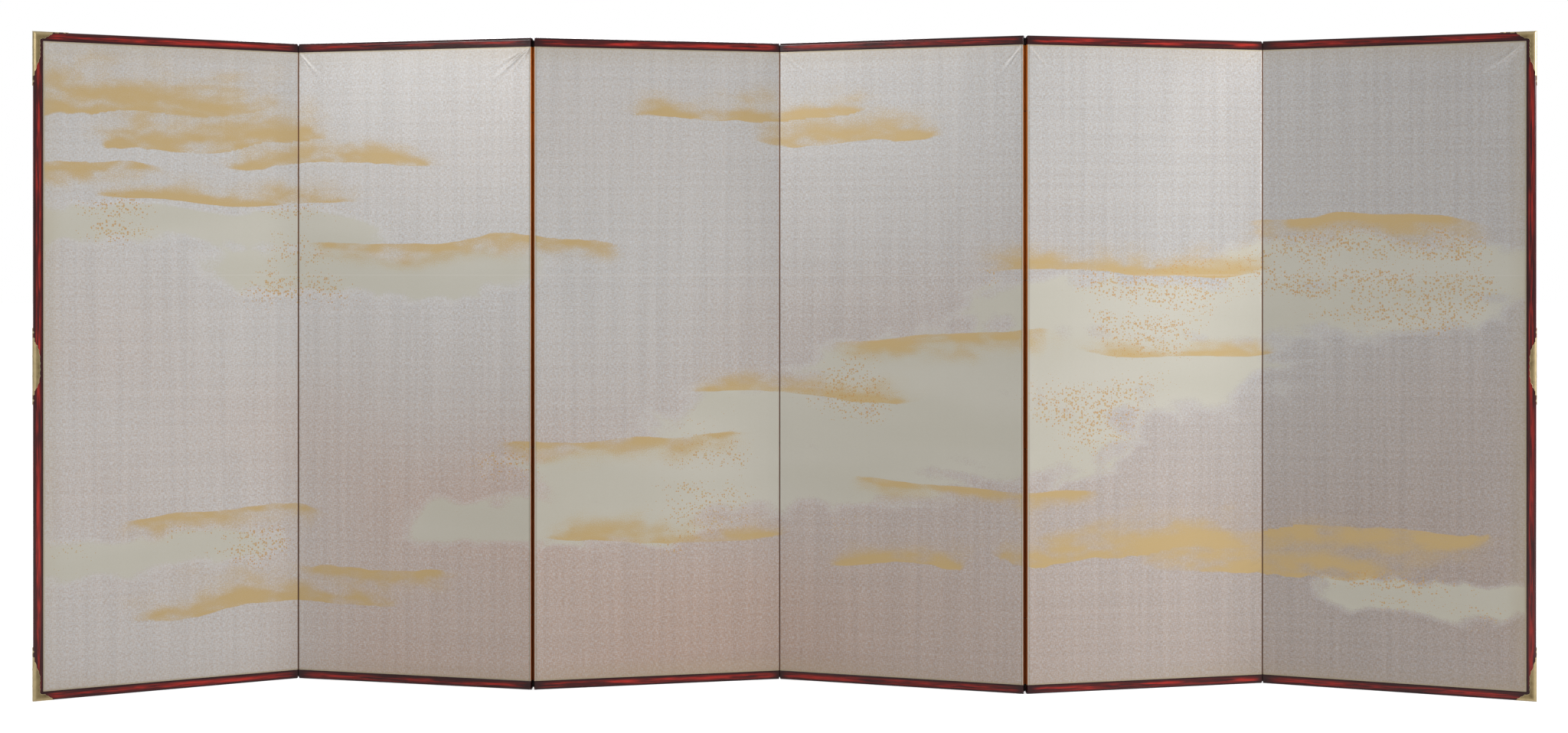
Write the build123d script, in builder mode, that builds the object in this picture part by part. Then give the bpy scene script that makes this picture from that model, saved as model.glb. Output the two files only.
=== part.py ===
"""A byobu: a six-panel folding screen of papered lattice panels in lacquered rails.

Millimetres. Z is up with the floor at Z = 0, X runs along the screen as it stands,
and its front faces -Y. Every panel is made in its own frame: local X runs from its
left fold edge to its right one, local Y from its front to its back, with the middle
of its thickness on Y = 0. A panel's plane then sets it in its place in the zigzag.
"""

import os
from math import cos, radians, sin

from build123d import *

os.makedirs("parts", exist_ok=True)

# ---------------------------------------------------------------- driving sizes

# The screen as a whole
screen_height = 1710.0
panel_width = 660.0  # a papered panel, from fold edge to fold edge
first_heading = 27.0  # panel 1 is turned this far back from X, in degrees
fold_angles = (41.0, 27.0, 31.0, 31.0, 34.0)  # how far each fold stands from flat

# Lacquered rails and posts
frame_face = 24.0  # height of a rail, width of a post
frame_depth = 20.0
outer_round = 7.0
inner_round = 1.5
end_ease = 0.6  # chamfer round the end of a rail at a fold

# Paper and core
sheet_recess = 1.3  # how far the rails stand proud of the paper
sheet_thickness = 1.0
core_stick = 22.0  # width of the core's stiles and rails
lattice_bar = 12.0
lattice_columns = 4
lattice_rows = 11
tenon_length = 10.0
tenon_thickness = 5.0
joint_clearance = 0.1  # glue line between the pieces of the core

# Paper hinges
fold_gap = 0.6  # between the edges of two panels that stand in line
fold_offset = 1.0  # from the face of the rails out to the fold's axis
hinge_paper = 0.2
hinge_end_length = 172.0  # first and last strip of a hinge
hinge_strips = 5
hinge_slit = 1.0  # between one strip and the next

# Pegs that hold the rails and posts to the core
peg_radius = 1.5
peg_length = 28.0
peg_clearance = 0.05
rail_pegs = 4
post_pegs = 5
peg_margin = 60.0  # from the end of the core to the first peg

# Brass fittings
brass_thickness = 1.0
bare_margin = 7.5  # lacquer left bare between a fitting and the paper
rail_reach = 52.0  # along the front of the rail
post_reach = 102.0  # down the front of the post
middle_reach = 62.0  # up and down the post from its middle
tip_length = 36.0  # the three-lobed tip beyond the reach
lobe_radius = 3.4
stem_width = 4.0
scallop_height = 1.3
wrap = 2.5  # how far a tip is carried round the corner of the stick
foot_clearance = 0.5  # lowest edge of the brass above the floor
heart_width = 5.0
heart_spots = (38.0, 80.0)  # from the corner, down the post
middle_heart_spot = 25.0  # from the middle of the post, each way

# Nails in the fittings
nail_head_radius = 1.7
nail_head_height = 0.6
nail_shank_radius = 0.6
nail_length = 9.0
nail_clearance = 0.05
corner_nail_spot = 60.0  # from the corner, down the post
top_nail_spot = 26.0  # from the corner, along the top of the rail

# ---------------------------------------------------------------- worked-out sizes

panel_count = len(fold_angles) + 1
half_depth = frame_depth / 2
sheet_face = half_depth - sheet_recess
core_depth = 2 * (sheet_face - sheet_thickness)
papered_height = screen_height - 2 * frame_face
fitting_cover = frame_face - bare_margin
outer_rail_length = panel_width + frame_face
# keeps every prism that cuts a fitting well outside it
spare = 3 * brass_thickness

# ---------------------------------------------------------------- the zigzag


def panel_planes():
    """The plane of each panel: origin at its left fold edge, on the floor."""
    heading = first_heading
    plane = Plane((0, 0, 0), x_dir=(cos(radians(heading)), sin(radians(heading)), 0))
    planes = [plane]
    pivots = []
    for fold, angle in enumerate(fold_angles):
        # odd folds hinge on the front faces, even folds on the back ones
        side = -1 if fold % 2 == 0 else 1
        pivot_y = side * (half_depth + fold_offset)
        pivot = plane.from_local_coords(Vector(panel_width + fold_gap / 2, pivot_y, 0))
        heading += side * angle
        turn = Plane(pivot, x_dir=(cos(radians(heading)), sin(radians(heading)), 0))
        start = turn.from_local_coords(Vector(fold_gap / 2, -pivot_y, 0))
        plane = Plane(start, x_dir=turn.x_dir)
        planes.append(plane)
        pivots.append(pivot)
    return planes, pivots


def plan_corners(planes):
    """The points in plan that bound the screen: rail ends and the posts' round corners."""
    reach = half_depth
    corners = []
    for plane in planes:
        for x in (0, panel_width):
            for y in (-reach, reach):
                corners.append((plane.from_local_coords(Vector(x, y, 0)), 0))
    round_in = half_depth - outer_round
    for plane, x in (
        (planes[0], -frame_face + outer_round),
        (planes[-1], outer_rail_length - outer_round),
    ):
        for y in (-round_in, round_in):
            centre = plane.from_local_coords(Vector(x, y, 0))
            corners.append((centre, outer_round + brass_thickness))
    return corners


def centred(planes, pivots):
    """Move the zigzag so that the middle of its box stands on the origin."""
    corners = plan_corners(planes)
    middle = Vector(
        (min(c.X - r for c, r in corners) + max(c.X + r for c, r in corners)) / 2,
        (min(c.Y - r for c, r in corners) + max(c.Y + r for c, r in corners)) / 2,
    )
    moved = [Plane(p.origin - middle, x_dir=p.x_dir) for p in planes]
    return moved, [pivot - middle for pivot in pivots]


planes, fold_axes = centred(*panel_planes())


def write(piece, name, plane):
    """Set a finished piece on its panel's plane and write it under its node's name."""
    with BuildPart() as placed:
        with Locations(plane):
            add(piece, clean=False)
    placed.part.label = name
    export_step(placed.part, f"parts/{name}.step")


# ---------------------------------------------------------------- lacquered frame


def stick(length, first_mitre=False, last_mitre=False, growth=0.0):
    """A frame stick along X from the origin, its outer face on Z = 0 and its inner face
    below it. A mitred end is cut at 45 degrees. Growth makes it larger all round."""
    with BuildPart() as made:
        with BuildSketch(Plane.YZ.offset(-growth)) as section:
            with Locations((0, -frame_face / 2)):
                Rectangle(frame_depth, frame_face)
            fillet(section.vertices().group_by(Axis.Y)[-1], outer_round)
            fillet(section.vertices().group_by(Axis.Y)[0], inner_round)
            if growth:
                offset(amount=growth)
        extrude(amount=length + 2 * growth)
        if not growth and not last_mitre:
            chamfer(made.faces().sort_by(Axis.X)[-1].edges(), end_ease)
        if not growth and not first_mitre:
            chamfer(made.faces().sort_by(Axis.X)[0].edges(), end_ease)
        if first_mitre:
            split(bisect_by=Plane((0, 0, 0), z_dir=(1, 0, 1)), keep=Keep.TOP)
        if last_mitre:
            split(bisect_by=Plane((length, 0, 0), z_dir=(-1, 0, 1)), keep=Keep.TOP)
    return made.part


def spread(count, length):
    """Places along a length of core, the same margin at both ends."""
    pitch = (length - 2 * peg_margin) / (count - 1)
    return [peg_margin + n * pitch for n in range(count)]


def peg_holes(places):
    """Blind holes for the pegs in the inner face of a stick that lies along X."""
    with Locations(*[Plane((x, 0, -frame_face), z_dir=(0, 0, -1)) for x in places]):
        Hole(peg_radius + peg_clearance, peg_length / 2)


def nail_holes(places):
    """Blind holes for nail shanks in the outer face of a stick that lies along X."""
    with Locations(*[(x, 0, 0) for x in places]):
        Hole(nail_shank_radius + nail_clearance, nail_length)


tip_centre = tip_length - lobe_radius
corner_nails = (corner_nail_spot, post_reach + tip_centre)
middle_nails = (
    screen_height / 2 - middle_reach - tip_centre,
    screen_height / 2 + middle_reach + tip_centre,
)
top_nails = (top_nail_spot, rail_reach + tip_centre)
post_nails = (
    *corner_nails,
    *middle_nails,
    *[screen_height - spot for spot in corner_nails],
)

with BuildPart() as inner_rail:
    add(stick(panel_width))
    peg_holes(spread(rail_pegs, panel_width))

# the outer panels' rails start at the mitre over the post
outer_pegs = [frame_face + x for x in spread(rail_pegs, panel_width)]

with BuildPart() as outer_bottom_rail:
    add(stick(outer_rail_length, first_mitre=True))
    peg_holes(outer_pegs)

with BuildPart() as outer_top_rail:
    add(outer_bottom_rail.part)
    nail_holes(top_nails)

with BuildPart() as post:
    add(stick(screen_height, first_mitre=True, last_mitre=True))
    peg_holes([frame_face + z for z in spread(post_pegs, papered_height)])
    nail_holes(post_nails)

# Where a stick lies on a panel, as the plane that its own X and Z go to
rail_planes = {
    "top": Plane((0, 0, screen_height)),
    "bottom": Plane((0, 0, 0), x_dir=(1, 0, 0), z_dir=(0, 0, -1)),
}
left_top = Plane((-frame_face, 0, screen_height))
left_bottom = Plane((-frame_face, 0, 0), x_dir=(1, 0, 0), z_dir=(0, 0, -1))
right_top = Plane((outer_rail_length, 0, screen_height), x_dir=(-1, 0, 0))
right_bottom = Plane((outer_rail_length, 0, 0), x_dir=(-1, 0, 0), z_dir=(0, 0, -1))
left_side = Plane((-frame_face, 0, screen_height), x_dir=(0, 0, -1), z_dir=(-1, 0, 0))
right_side = Plane((outer_rail_length, 0, screen_height), x_dir=(0, 0, -1), z_dir=(1, 0, 0))


def on_panel(local, plane):
    """A plane given in a panel's own frame, carried to the panel's place."""
    return Plane(
        plane.from_local_coords(local.origin),
        x_dir=plane.from_local_coords(local.x_dir) - plane.origin,
        z_dir=plane.from_local_coords(local.z_dir) - plane.origin,
    )


# ---------------------------------------------------------------- papered core


def edge_linings(number):
    """Thickness of hinge paper on the left and right edge of a panel: none at a post."""
    left = 0.0 if number == 1 else hinge_paper
    right = 0.0 if number == panel_count else hinge_paper
    return left, right


def core_frame(number):
    """Two stiles and two rails with stub tenons, each a stick of its own."""
    left, right = edge_linings(number)
    inner = panel_width - left - right - 2 * core_stick
    stile_spots = (left + core_stick / 2, panel_width - right - core_stick / 2)
    middle_x = sum(stile_spots) / 2
    rail_spots = (frame_face + core_stick / 2, screen_height - frame_face - core_stick / 2)
    posts = {1: (0.0, 1), panel_count: (panel_width, -1)}
    with BuildPart() as made:
        with BuildSketch(Plane.XY.offset(frame_face)):
            with Locations(*[(x, 0) for x in stile_spots]):
                Rectangle(core_stick, core_depth)
        extrude(amount=papered_height)
        with Locations(*[(middle_x, 0, z) for z in rail_spots]):
            mortise = core_stick / 2 + 2 * joint_clearance
            thick = tenon_thickness + 2 * joint_clearance
            Box(inner + 2 * tenon_length, thick, mortise, mode=Mode.SUBTRACT)
            Box(inner - 2 * joint_clearance, core_depth, core_stick)
            tenons = inner + 2 * (tenon_length - joint_clearance)
            Box(tenons, tenon_thickness, core_stick / 2)
        top, bottom = screen_height - frame_face, frame_face
        with Locations(*[(x, 0, top) for x in spread(rail_pegs, panel_width)]):
            Hole(peg_radius + peg_clearance, peg_length / 2)
        under = [(x, 0, bottom) for x in spread(rail_pegs, panel_width)]
        with Locations(*[Plane(point, z_dir=(0, 0, -1)) for point in under]):
            Hole(peg_radius + peg_clearance, peg_length / 2)
        if number in posts:
            x, inward = posts[number]
            heights = [frame_face + z for z in spread(post_pegs, papered_height)]
            edge = [Plane((x, 0, z), z_dir=(-inward, 0, 0)) for z in heights]
            with Locations(*edge):
                Hole(peg_radius + peg_clearance, peg_length / 2)
    return made.part


# The lattice fills the core frame: uprights and crossbars halved into each other
lattice_width = panel_width - 2 * (hinge_paper + core_stick + joint_clearance)
lattice_height = papered_height - 2 * (core_stick + joint_clearance)
column_pitch = lattice_width / (lattice_columns + 1)
row_pitch = lattice_height / (lattice_rows + 1)
lap_width = lattice_bar + 2 * joint_clearance
lap_depth = core_depth / 2 + joint_clearance
row_heights = [(n - (lattice_rows - 1) / 2) * row_pitch for n in range(lattice_rows)]

with BuildPart() as lattice_upright:
    Box(lattice_bar, core_depth, lattice_height)
    with Locations(*[(0, core_depth / 2 - lap_depth / 2, z) for z in row_heights]):
        Box(lap_width, lap_depth, lap_width, mode=Mode.SUBTRACT)

with BuildPart() as lattice_crossbar:
    Box(lattice_width, core_depth, lattice_bar)
    with Locations((0, lap_depth / 2 - core_depth / 2, 0)):
        with GridLocations(column_pitch, 1, lattice_columns, 1):
            Box(lap_width, lap_depth, lap_width, mode=Mode.SUBTRACT)

with BuildPart() as core_lattice:
    with Locations((panel_width / 2, 0, screen_height / 2)):
        with GridLocations(column_pitch, 1, lattice_columns, 1):
            add(lattice_upright.part)
        with Locations(*[(0, 0, z) for z in row_heights]):
            add(lattice_crossbar.part)


def sheet(number, side):
    """The paper over one face of the core, from rail to rail."""
    left, right = edge_linings(number)
    middle_x = (left + panel_width - right) / 2
    middle_y = side * (sheet_face - sheet_thickness / 2)
    with BuildPart() as made:
        with Locations((middle_x, middle_y, screen_height / 2)):
            Box(panel_width - left - right, sheet_thickness, papered_height)
    return made.part


def hinge_papers(number):
    """The strips that line a panel's fold edges, one above the other."""
    edges = []
    if number > 1:
        edges.append(hinge_paper / 2)
    if number < panel_count:
        edges.append(panel_width - hinge_paper / 2)
    middle_strip = (papered_height - 2 * hinge_end_length) / (hinge_strips - 2)
    lengths = [hinge_end_length, *[middle_strip] * (hinge_strips - 2), hinge_end_length]
    with BuildPart() as made:
        low = frame_face
        for length in lengths:
            with Locations(*[(x, 0, low + length / 2) for x in edges]):
                Box(hinge_paper, 2 * sheet_face, length - hinge_slit)
            low += length
    return made.part


def pegs(number):
    """The pegs that stand half in the core and half in the rails or the post."""
    with BuildPart() as made:
        for z in (frame_face, screen_height - frame_face):
            with Locations(*[(x, 0, z) for x in spread(rail_pegs, panel_width)]):
                Cylinder(peg_radius, peg_length - 2 * peg_clearance)
        post_x = {1: 0.0, panel_count: panel_width}
        if number in post_x:
            heights = [frame_face + z for z in spread(post_pegs, papered_height)]
            with Locations(*[(post_x[number], 0, z) for z in heights]):
                Cylinder(peg_radius, peg_length - 2 * peg_clearance, rotation=(0, 90, 0))
    return made.part


# ---------------------------------------------------------------- brass fittings


def scallops(cusps):
    """A lobed edge: one arc from each cusp to the next."""
    for start, end in zip(cusps, cusps[1:]):
        SagittaArc(start, end, scallop_height)


def lobed_tip(reach, half_width):
    """A band from the corner to its reach, then a stem with three lobes, along X."""
    with BuildLine() as outline:
        Polyline(
            (reach, -half_width),
            (-spare, -half_width),
            (-spare, half_width),
            (reach, half_width),
        )
        neck = (reach + tip_length / 3, stem_width / 2)
        SagittaArc((reach, half_width), neck, tip_length / 12)
        Line(neck, (neck[0], -neck[1]))
        SagittaArc((neck[0], -neck[1]), (reach, -half_width), tip_length / 12)
    make_face(outline.edges())
    lobes_x = reach + tip_centre - 2.2 * lobe_radius
    with Locations((reach + tip_length / 2, 0)):
        Rectangle(tip_length - 2 * lobe_radius, stem_width)
    with Locations((reach + tip_centre, 0)):
        Circle(lobe_radius)
    with Locations((lobes_x, 1.2 * lobe_radius), (lobes_x, -1.2 * lobe_radius)):
        Circle(lobe_radius)


def heart():
    """A boar's-eye opening: two round shoulders over a point, along X."""
    r = heart_width / 3.6
    with Locations((0, 0.8 * r), (0, -0.8 * r)):
        Circle(r)
    with BuildLine() as outline:
        Polyline((0.6 * r, 1.6 * r), (3.2 * r, 0), (0.6 * r, -1.6 * r), (0, 0), close=True)
    make_face(outline.edges())


def corner_fitting(on_top):
    """The brass shell over a mitred corner. Its frame is the corner's own: X along the
    rail, Z out of the panel, origin at the sharp outer corner of the lacquer."""
    rail_end = rail_reach + tip_length
    post_end = post_reach + tip_length
    down = Plane((0, 0, 0), x_dir=(0, 0, -1), z_dir=(-1, 0, 0))
    front = Plane((0, 0, 0), x_dir=(1, 0, 0), z_dir=(0, 1, 0))
    cover = fitting_cover
    reach = rail_reach
    rail_cusps = [
        (reach, 0.0),
        (0.87 * reach, 0.38 * cover),
        (0.72 * reach, 0.68 * cover),
        (0.54 * reach, 1.05 * cover),
        (cover, 1.18 * cover),
    ]
    lobes = 4
    straight = 0.62 * post_reach
    pitch = (straight - 1.18 * cover) / lobes
    post_cusps = [(cover, 1.18 * cover + n * pitch) for n in range(lobes + 1)]
    post_cusps += [(0.78 * cover, 0.76 * post_reach), (0.42 * cover, 0.88 * post_reach)]
    with BuildPart() as made:
        add(stick(rail_end, first_mitre=True, growth=brass_thickness))
        with Locations(down):
            add(stick(post_end, first_mitre=True, growth=brass_thickness))
            add(stick(post_end + spare, first_mitre=True, growth=0.0), mode=Mode.SUBTRACT)
        add(stick(rail_end + spare, first_mitre=True), mode=Mode.SUBTRACT)
        # the outline seen from the front
        with BuildSketch(front):
            with BuildLine():
                Polyline(
                    (wrap, post_end + spare),
                    (-spare, post_end + spare),
                    (-spare, -spare),
                    (rail_end + spare, -spare),
                    (rail_end + spare, wrap),
                    (reach, wrap),
                    (reach, 0.0),
                )
                scallops(rail_cusps)
                scallops(post_cusps)
                SagittaArc(post_cusps[-1], (wrap, post_reach), -scallop_height)
                Line((wrap, post_reach), (wrap, post_end + spare))
            make_face()
        extrude(amount=frame_depth, both=True, mode=Mode.INTERSECT)
        # the tips on the outer faces
        with BuildSketch(Plane.XY.offset(-post_end - spare)):
            lobed_tip(rail_reach, frame_depth)
        extrude(amount=post_end + 2 * spare, mode=Mode.INTERSECT)
        with BuildSketch(Plane((-spare, 0, 0), x_dir=(0, 0, -1), z_dir=(1, 0, 0))):
            lobed_tip(post_reach, frame_depth)
        extrude(amount=rail_end + 2 * spare, mode=Mode.INTERSECT)
        # pierced hearts and nail holes on the side
        for spot in heart_spots:
            with BuildSketch(Plane((-spare, 0, -spot), x_dir=(0, 0, -1), z_dir=(1, 0, 0))):
                heart()
            extrude(amount=spare + wrap, mode=Mode.SUBTRACT)
        with Locations(*[Plane((-brass_thickness, 0, -z), z_dir=(-1, 0, 0)) for z in corner_nails]):
            Hole(nail_shank_radius + nail_clearance, spare)
        if on_top:
            with Locations(*[(x, 0, brass_thickness) for x in top_nails]):
                Hole(nail_shank_radius + nail_clearance, spare)
        else:
            # open underneath, with no tip there, so that the lacquer stands on the floor
            split(bisect_by=Plane((0, 0, -foot_clearance), z_dir=(0, 0, -1)), keep=Keep.TOP)
            split(bisect_by=Plane((rail_reach, 0, 0), z_dir=(-1, 0, 0)), keep=Keep.TOP)
    return made.part


def middle_fitting():
    """The brass shell round the middle of a post. Its frame lies as a stick does: X down
    the post, Z out of the panel, origin on the lacquer at mid-height."""
    end = middle_reach + tip_length
    front = Plane((0, 0, 0), x_dir=(1, 0, 0), z_dir=(0, 1, 0))
    cover = fitting_cover
    reach = middle_reach
    half = [(reach, 0.22), (0.86 * reach, 0.55), (0.66 * reach, 0.83), (0.4 * reach, 0.97)]
    cusps = [(x, depth * cover) for x, depth in half]
    cusps += [(0.13 * reach, cover), (-0.13 * reach, cover)]
    cusps += [(-x, depth * cover) for x, depth in reversed(half)]
    with BuildPart() as made:
        with Locations((-end, 0, 0)):
            add(stick(2 * end, growth=brass_thickness))
        with Locations((-end - spare, 0, 0)):
            add(stick(2 * (end + spare)), mode=Mode.SUBTRACT)
        with BuildSketch(front):
            with BuildLine():
                Polyline(
                    cusps[-1],
                    (-reach, wrap),
                    (-end - spare, wrap),
                    (-end - spare, -spare),
                    (end + spare, -spare),
                    (end + spare, wrap),
                    (reach, wrap),
                    cusps[0],
                )
                scallops(cusps)
            make_face()
        extrude(amount=frame_depth, both=True, mode=Mode.INTERSECT)
        with BuildSketch(Plane.XY.offset(-frame_face)):
            lobed_tip(middle_reach, frame_depth)
            mirror(about=Plane.YZ)
        extrude(amount=frame_face + spare, mode=Mode.INTERSECT)
        for side in (1, -1):
            spot = Plane((side * middle_heart_spot, 0, -wrap), x_dir=(side, 0, 0))
            with BuildSketch(spot):
                heart()
            extrude(amount=wrap + spare, mode=Mode.SUBTRACT)
        tips = [(side * (middle_reach + tip_centre), 0, brass_thickness) for side in (1, -1)]
        with Locations(*tips):
            Hole(nail_shank_radius + nail_clearance, spare)
    return made.part


with BuildPart() as nail:
    with BuildSketch(Plane.XZ):
        with BuildLine():
            Polyline((0, nail_head_height), (0, -nail_length), (nail_shank_radius, -nail_length))
            Polyline((nail_shank_radius, -nail_length), (nail_shank_radius, 0), (nail_head_radius, 0))
            RadiusArc((0, nail_head_height), (nail_head_radius, 0), 3 * nail_head_radius)
        make_face()
    revolve(axis=Axis.Z)


def fitting_nails(top_corner, side):
    """The nails of one outer panel: heads on the brass, shanks in the lacquer below."""
    with BuildPart() as made:
        with Locations(top_corner):
            with Locations(*[(x, 0, brass_thickness) for x in top_nails]):
                add(nail.part)
        with Locations(side):
            with Locations(*[(x, 0, brass_thickness) for x in post_nails]):
                add(nail.part)
    return made.part


# ---------------------------------------------------------------- writing the pieces

for number, plane in enumerate(planes, start=1):
    panel = f"panel_{number}"
    write(core_frame(number), f"{panel}_core_frame", plane)
    write(core_lattice.part, f"{panel}_core_lattice", plane)
    write(sheet(number, -1), f"{panel}_front_sheet", plane)
    write(sheet(number, 1), f"{panel}_back_sheet", plane)
    write(hinge_papers(number), f"{panel}_hinge_papers", plane)
    write(pegs(number), f"{panel}_frame_pegs", plane)
    if 1 < number < panel_count:
        for where, spot in rail_planes.items():
            write(inner_rail.part, f"{panel}_{where}_rail", on_panel(spot, plane))

ends = {
    "left": (planes[0], "panel_1", left_top, left_bottom, left_side),
    "right": (planes[-1], f"panel_{panel_count}", right_top, right_bottom, right_side),
}
for end, (plane, panel, top, bottom, side) in ends.items():
    write(outer_top_rail.part, f"{panel}_top_rail", on_panel(top, plane))
    write(outer_bottom_rail.part, f"{panel}_bottom_rail", on_panel(bottom, plane))
    write(post.part, f"{end}_side_post", on_panel(side, plane))
    write(corner_fitting(True), f"{end}_top_corner_fitting", on_panel(top, plane))
    write(corner_fitting(False), f"{end}_bottom_corner_fitting", on_panel(bottom, plane))
    waist = Plane(side.from_local_coords(Vector(screen_height / 2, 0, 0)), side.x_dir, side.z_dir)
    write(middle_fitting(), f"{end}_middle_fitting", on_panel(waist, plane))
    write(fitting_nails(top, side), f"{end}_fitting_nails", plane)

for fold, axis in enumerate(fold_axes, start=1):
    print(f"fold {fold}: axis at X {axis.X:.3f}, Y {axis.Y:.3f}")
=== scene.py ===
"""The looks of a six-panel byobu: lacquered rails, gilt brass fittings and painted papers,
built round the fixed CAD frame. Metres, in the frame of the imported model: Z is up, the
floor is at Z = 0 and the front of the screen faces -Y."""

import math

import bmesh
import bpy
import numpy as np
from bpy.props import FloatProperty, FloatVectorProperty, IntProperty, PointerProperty
from mathutils import Matrix, Vector, noise


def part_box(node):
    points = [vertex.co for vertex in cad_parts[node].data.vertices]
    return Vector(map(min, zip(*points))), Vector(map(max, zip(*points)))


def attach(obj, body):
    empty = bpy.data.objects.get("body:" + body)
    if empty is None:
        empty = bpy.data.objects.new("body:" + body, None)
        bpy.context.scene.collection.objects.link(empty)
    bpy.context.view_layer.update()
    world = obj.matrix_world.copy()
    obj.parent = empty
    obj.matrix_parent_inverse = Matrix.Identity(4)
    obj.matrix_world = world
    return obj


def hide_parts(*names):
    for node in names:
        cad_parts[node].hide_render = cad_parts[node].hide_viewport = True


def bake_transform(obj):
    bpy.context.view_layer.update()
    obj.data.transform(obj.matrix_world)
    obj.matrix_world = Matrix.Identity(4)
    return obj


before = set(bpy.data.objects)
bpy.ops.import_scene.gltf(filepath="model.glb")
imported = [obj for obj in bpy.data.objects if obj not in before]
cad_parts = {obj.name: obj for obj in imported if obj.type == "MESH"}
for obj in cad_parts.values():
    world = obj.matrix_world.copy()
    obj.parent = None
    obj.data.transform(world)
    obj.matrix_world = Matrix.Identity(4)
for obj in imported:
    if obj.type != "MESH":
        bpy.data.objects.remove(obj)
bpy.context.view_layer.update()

bl_info = {
    "name": "Byobu folding screen",
    "version": (1, 0, 0),
    "blender": (4, 5, 0),
    "location": "View3D > Sidebar > Byobu",
    "description": "Dresses a six-panel folding screen in lacquer, brass and painted paper",
    "category": "Object",
}

# ---- sizes from the CAD

SCREEN_HEIGHT = 1.710
PANEL_WIDTH = 0.660
FRAME_FACE = 0.024  # height of a rail, width of a post
HALF_DEPTH = 0.010
SHEET_FACE = 0.0087  # from the middle of a panel to the face of its paper
SHEET_THICKNESS = 0.001
OUTER_ROUND = 0.007
INNER_ROUND = 0.0015
HINGE_LINING = 0.0002
HINGE_END = 0.172  # first and last strip of a paper hinge
HINGE_SLIT = 0.001
WEB_DEEP = (0.0022, 0.0062)  # where the paper across a fold leaves a wall, and where it ends
WEB_OFF_WALL = 0.0001
WEB_BULGE = 0.0007  # how far its crossing stands towards the fold's axis
WEB_THICKNESS = 0.00012
WEB_TAB = 0.0055  # from a rail's outer edge to the end of the paper between the rails
HEADINGS = (27.0, -14.0, 13.0, -18.0, 13.0, -21.0)  # how far each panel is turned, degrees
PAPER_LOW = FRAME_FACE
PAPER_HIGH = SCREEN_HEIGHT - FRAME_FACE
PAPER_HEIGHT = PAPER_HIGH - PAPER_LOW
PAPER_JOIN = 1.087  # height of the seam between two lengths of the silk
PRINT_PITCH = 0.055  # from one printed blossom to the next
PAPER_SUNK = 0.00002  # how far a flat paper stays under its CAD face
TURNED_BACK = 0.0004  # how far a paper's outermost step goes over the core's edge
CROWDING = 0.62  # how much closer a paper's faces stand near its edges
SHORTEST_RIM = 0.008
PANELS = range(1, len(HEADINGS) + 1)
TONED_PAPER = "toned_hinge_paper"  # the paper that shows in the folds open to the front
FITTINGS = ("top_corner_fitting", "bottom_corner_fitting", "middle_fitting")
ENDS = {"left": 1, "right": len(HEADINGS)}


def panel_matrix(number):
    """Carries a panel's own frame, left fold edge at X 0 and front at -Y, to its place."""
    low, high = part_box(f"panel_{number}_core_lattice")
    middle = (low + high) / 2
    turn = Matrix.Rotation(math.radians(HEADINGS[number - 1]), 4, "Z")
    place = Matrix.Translation((middle.x, middle.y, 0.0)) @ turn
    return place @ Matrix.Translation((-PANEL_WIDTH / 2, 0.0, 0.0))


PLACES = {number: panel_matrix(number) for number in PANELS}

# ---- painted design
# Each shape is a drifting band: middle along the screen, middle height above the paper's
# foot, half length, rise above the middle and fall below it.

MIST_BANDS = (
    (3.66, 1.10, 0.34, 0.055, 0.075),
    (3.16, 0.99, 0.44, 0.070, 0.085),
    (2.68, 0.83, 0.36, 0.080, 0.120),
    (2.30, 0.66, 0.34, 0.090, 0.110),
    (1.84, 0.53, 0.36, 0.070, 0.090),
    (1.36, 0.42, 0.26, 0.045, 0.060),
    (0.36, 1.20, 0.40, 0.040, 0.060),
    (0.86, 1.08, 0.30, 0.050, 0.065),
    (0.22, 0.35, 0.26, 0.040, 0.055),
    (3.74, 0.24, 0.22, 0.035, 0.050),
)
GOLD_CLOUDS = (
    (0.16, 1.51, 0.20, 0.130, 0.040),
    (0.46, 1.43, 0.16, 0.100, 0.030),
    (0.74, 1.37, 0.18, 0.060, 0.020),
    (0.12, 1.35, 0.14, 0.020, 0.060),
    (2.96, 0.34, 0.24, 0.090, 0.030),
    (3.32, 0.30, 0.18, 0.110, 0.035),
    (3.58, 0.38, 0.16, 0.025, 0.070),
    (1.88, 1.50, 0.22, 0.060, 0.018),
    (2.16, 1.44, 0.16, 0.070, 0.018),
    (0.60, 0.19, 0.22, 0.080, 0.022),
    (0.90, 0.27, 0.14, 0.018, 0.060),
    (2.30, 0.30, 0.10, 0.050, 0.015),
)
GOLD_WISPS = (
    (1.14, 1.150, 0.32, 0.012, 0.055),
    (0.50, 1.270, 0.24, 0.050, 0.012),
    (1.58, 0.615, 0.24, 0.012, 0.060),
    (2.08, 0.750, 0.22, 0.055, 0.012),
    (2.44, 0.900, 0.22, 0.012, 0.065),
    (2.90, 1.090, 0.30, 0.060, 0.012),
    (3.54, 1.205, 0.26, 0.012, 0.055),
    (3.08, 0.860, 0.18, 0.045, 0.010),
    (2.52, 0.510, 0.20, 0.010, 0.050),
    (1.66, 0.380, 0.24, 0.050, 0.012),
    (0.44, 0.430, 0.20, 0.010, 0.045),
)

DRIFT_SEED = 11  # which way the bands wander; 0 would change from run to run

# Tension folds: how strongly the paper puckers at its top left, top right, bottom left and
# bottom right corner, panel by panel.
CORNER_FOLDS = {
    1: (0.50, 0.20, 0.15, 0.15),
    2: (0.40, 1.00, 0.35, 0.20),
    3: (0.25, 0.30, 0.20, 0.20),
    4: (0.25, 0.46, 0.20, 0.35),
    5: (0.40, 0.30, 0.20, 0.70),
    6: (0.30, 1.75, 0.25, 0.70),
}
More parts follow.
